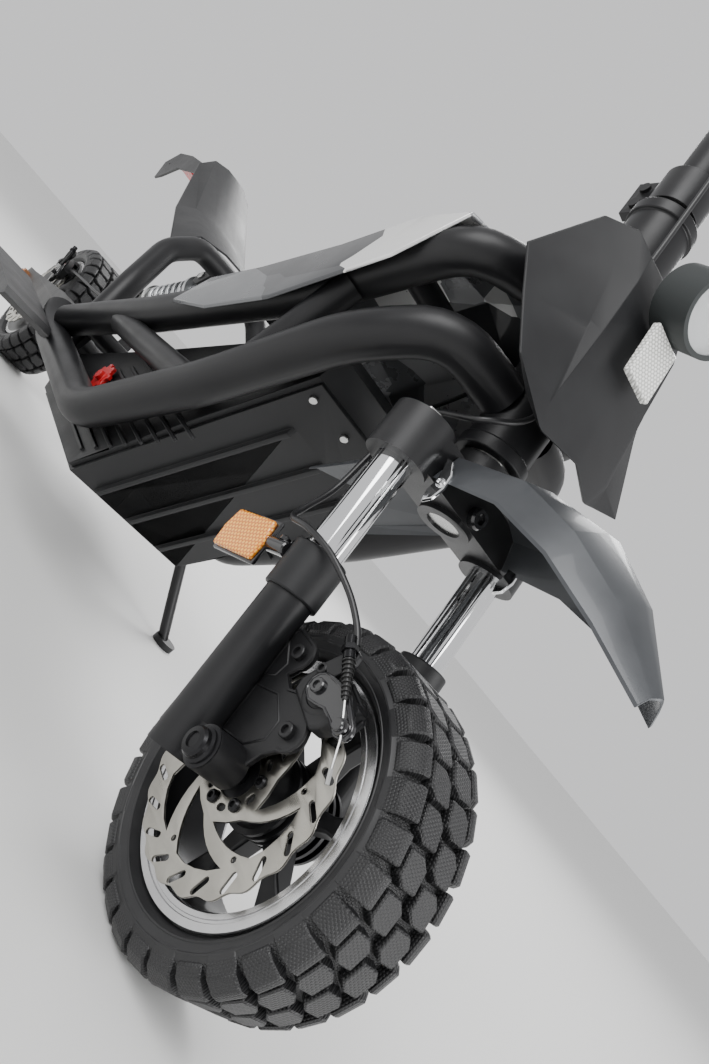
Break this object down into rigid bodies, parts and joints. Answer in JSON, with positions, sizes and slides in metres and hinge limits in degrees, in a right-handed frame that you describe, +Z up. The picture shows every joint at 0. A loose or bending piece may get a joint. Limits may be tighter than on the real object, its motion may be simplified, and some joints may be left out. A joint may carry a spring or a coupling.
{
  "type": "electric kick scooter",
  "caption": "Standing electric scooter with a tube truss frame, telescopic fork, swingarm with a coil-over shock, hub motor, disc brakes and a rear hoop.",
  "frame": {"origin": "on the ground, below the middle of the overall length, in the middle plane", "axes": "+X forward along the length, +Y to the rider's left, +Z up"},
  "size_m": [1.598, 0.64, 1.223],
  "materials": {
    "black_frame": "satin black powder coat",
    "black_plastic": "fine grained black plastic",
    "fender_grey": "satin grey paint",
    "shroud_camo": "satin polygon pattern in silver, grey and white",
    "tyre_rubber": "matt moulded rubber",
    "grip_rubber": "soft ribbed rubber",
    "rim_alloy": "satin black with a machined lip",
    "steel": "brushed steel",
    "chrome_tube": "mirror chrome",
    "alloy": "bare satin alloy",
    "cast_black": "cast black",
    "red_plastic": "gloss red",
    "amber": "amber prismatic plastic",
    "clear_prism": "clear prismatic plastic",
    "lens": "clear moulded lens",
    "cable_black": "semi-gloss cable sheath",
    "battery_blue": "blue shrink wrap",
    "copper": "copper windings on a steel core",
    "spring_steel": "silver paint"
  },
  "bodies": {
    "frame": {"head_tube": "black_frame", "headset_bearings": "steel", "lower_rails": "black_frame", "upper_rails": "black_frame", "frame_braces": "black_frame", "pivot_plates": "black_frame", "pivot_bolts": "steel", "rear_hoop": "black_frame", "shroud": "shroud_camo", "battery_case": "black_plastic", "battery_pack": "battery_blue", "motor_controller": "alloy", "belly_panel": "black_plastic", "panel_screws": "steel", "footboards": "black_plastic", "tail_fender": "black_plastic", "tail_lamp": "red_plastic", "plate_bracket": "cast_black", "rear_brake_cable": "cable_black", "front_panel": "black_plastic", "headlight": "black_plastic", "headlight_lens": "lens", "front_reflector": "clear_prism"},
    "stand": {"kickstand": "cast_black"},
    "knob": {"lock_knob": "red_plastic"},
    "steering": {"steerer": "steel", "fork_crown": "cast_black", "stanchions": "chrome_tube", "front_fender": "fender_grey", "crown_fasteners": "steel", "stem": "black_frame", "stem_collar": "cast_black", "handlebar": "black_frame", "grips": "grip_rubber", "display": "black_plastic", "lever_perches": "cast_black", "front_brake_cable": "cable_black"},
    "right_lever": {"brake_lever_right": "cast_black"},
    "left_lever": {"brake_lever_left": "cast_black"},
    "throttle": {"thumb_throttle": "black_plastic"},
    "button": {"power_button": "alloy"},
    "fork_lower": {"sliders": "black_frame", "seal_collars": "black_plastic", "side_reflectors": "amber", "front_caliper": "cast_black", "front_axle": "steel"},
    "front_arm": {"caliper_arm": "steel"},
    "front_wheel": {"front_tyre": "tyre_rubber", "front_rim": "rim_alloy", "front_rotor": "steel"},
    "swingarm": {"swingarm": "cast_black", "motor_core": "copper", "rear_caliper": "cast_black"},
    "rear_arm": {"rear_caliper_arm": "steel"},
    "rear_wheel": {"rear_tyre": "tyre_rubber", "motor_shell": "rim_alloy", "rear_rotor": "steel"},
    "shock_upper": {"shock_body": "alloy", "shock_spring": "spring_steel"},
    "shock_lower": {"shock_rod": "steel"}
  },
  "joints": [
    {"name": "steer", "type": "hinge", "parent": "frame", "child": "steering", "pos_m": [0.48308, 0, 0.53884], "axis": [-0.3338, 0, 0.9426], "range_deg": [-35, 35]},
    {"name": "fork_slide", "type": "slide", "parent": "steering", "child": "fork_lower", "axis": [-0.3338, 0, 0.9426], "range_m": [0, 0.055], "stiffness_N_per_m": 9000, "springref_m": -0.03, "deforming": ["front_brake_cable"]},
    {"name": "front_spin", "type": "hinge", "parent": "fork_lower", "child": "front_wheel", "pos_m": [0.671, 0, 0.128], "axis": [0, 1, 0], "continuous": true},
    {"name": "front_arm_pull", "type": "hinge", "parent": "fork_lower", "child": "front_arm", "pos_m": [0.68172, 0, 0.20627], "axis": [0, -1, 0], "range_deg": [0, 20.1]},
    {"name": "swing", "type": "hinge", "parent": "frame", "child": "swingarm", "pos_m": [-0.119, 0, 0.157], "axis": [0, 1, 0], "range_deg": [0, 8], "stiffness_Nm_per_rad": 700, "springref_deg": -17.19, "deforming": ["rear_brake_cable"]},
    {"name": "rear_spin", "type": "hinge", "parent": "swingarm", "child": "rear_wheel", "pos_m": [-0.629, 0, 0.128], "axis": [0, 1, 0], "continuous": true},
    {"name": "rear_arm_pull", "type": "hinge", "parent": "swingarm", "child": "rear_arm", "pos_m": [-0.58714, 0, 0.195], "axis": [0, -1, 0], "range_deg": [0, 20.1]},
    {"name": "shock_turn", "type": "hinge", "parent": "frame", "child": "shock_upper", "pos_m": [-0.179, 0, 0.352], "axis": [0, 1, 0], "range_deg": [0, 6.4]},
    {"name": "shock_slide", "type": "slide", "parent": "shock_upper", "child": "shock_lower", "axis": [0.8648, 0, 0.5021], "range_m": [0, 0.0285], "deforming": ["shock_spring"]},
    {"name": "right_lever_pull", "type": "hinge", "parent": "steering", "child": "right_lever", "pos_m": [0.30091, -0.178, 1.18509], "axis": [0.3338, 0, -0.9426], "range_deg": [0, 14], "stiffness_Nm_per_rad": 1.2, "springref_deg": -17.19},
    {"name": "left_lever_pull", "type": "hinge", "parent": "steering", "child": "left_lever", "pos_m": [0.30091, 0.178, 1.18509], "axis": [-0.3338, 0, 0.9426], "range_deg": [0, 14], "stiffness_Nm_per_rad": 1.2, "springref_deg": -17.19},
    {"name": "throttle_push", "type": "hinge", "parent": "steering", "child": "throttle", "pos_m": [0.25943, -0.156, 1.17041], "axis": [0, -1, 0], "range_deg": [0, 35], "stiffness_Nm_per_rad": 0.4, "springref_deg": -22.92},
    {"name": "button_press", "type": "slide", "parent": "steering", "child": "button", "axis": [0.3338, 0, -0.9426], "range_m": [0, 0.0015], "stiffness_N_per_m": 400, "springref_m": -0.001},
    {"name": "stand_fold", "type": "hinge", "parent": "frame", "child": "stand", "pos_m": [0.111, 0.116, 0.106], "axis": [0, 1, 0], "range_deg": [0, 95]},
    {"name": "knob_turn", "type": "hinge", "parent": "frame", "child": "knob", "pos_m": [0.081, -0.092, 0.178], "axis": [0, 1, 0], "range_deg": [0, 90]}
  ],
  "couplings": [
    {"joint": "front_arm_pull", "follows": "right_lever_pull", "ratio": 1.43},
    {"joint": "rear_arm_pull", "follows": "left_lever_pull", "ratio": 1.43},
    {"joint": "shock_turn", "follows": "swing", "ratio": 0.7875},
    {"joint": "shock_slide", "follows": "swing", "m_per_rad": 0.2008}
  ]
}
